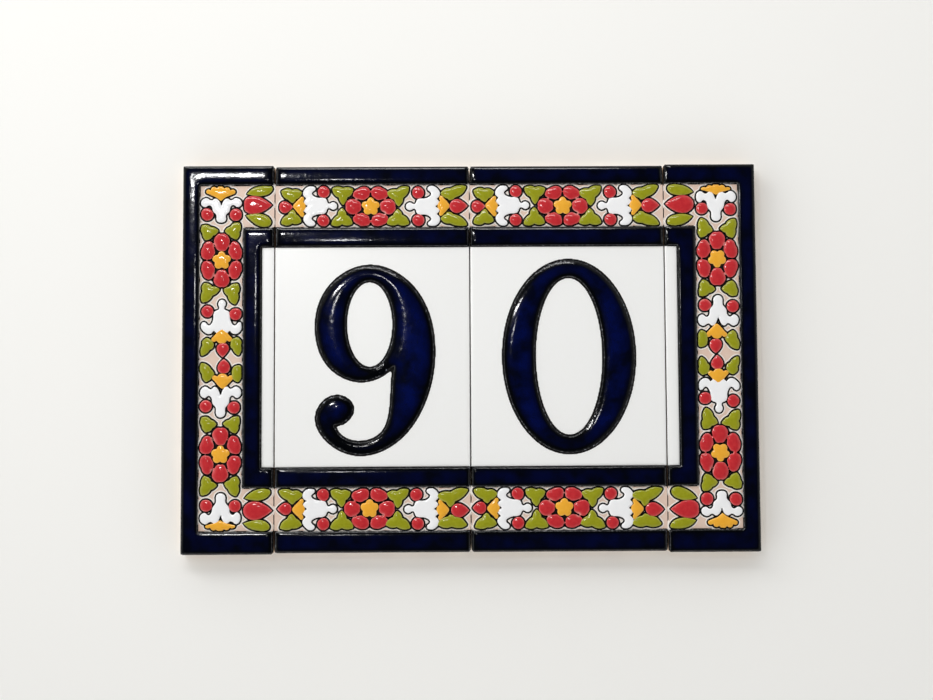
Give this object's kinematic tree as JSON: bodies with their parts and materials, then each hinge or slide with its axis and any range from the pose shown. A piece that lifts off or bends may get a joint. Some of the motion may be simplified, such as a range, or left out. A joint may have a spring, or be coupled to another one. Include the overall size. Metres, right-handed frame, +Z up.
{
  "type": "house number plaque",
  "caption": "House number plaque of glazed tiles laid edge to edge, with raised navy digits and bars and a floral border, bedded on a wall by its flat keyed back.",
  "frame": {"origin": "middle of the plaque's back, on the plane that lies against the wall", "axes": "+X along the row of tiles to the right as it is read, +Y out of the back into the wall, +Z up"},
  "size_m": [0.2222, 0.0085, 0.15],
  "materials": {
    "white_glaze": "gloss",
    "navy_glaze": "gloss",
    "red_glaze": "gloss",
    "green_glaze": "gloss",
    "yellow_glaze": "gloss",
    "beige_glaze": "gloss",
    "dry_line": "matte",
    "clay_body": "matte"
  },
  "bodies": {
    "root": {"left_end_tile": "white_glaze", "nine_tile": "white_glaze", "zero_tile": "white_glaze", "right_end_tile": "white_glaze"}
  },
  "joints": []
}
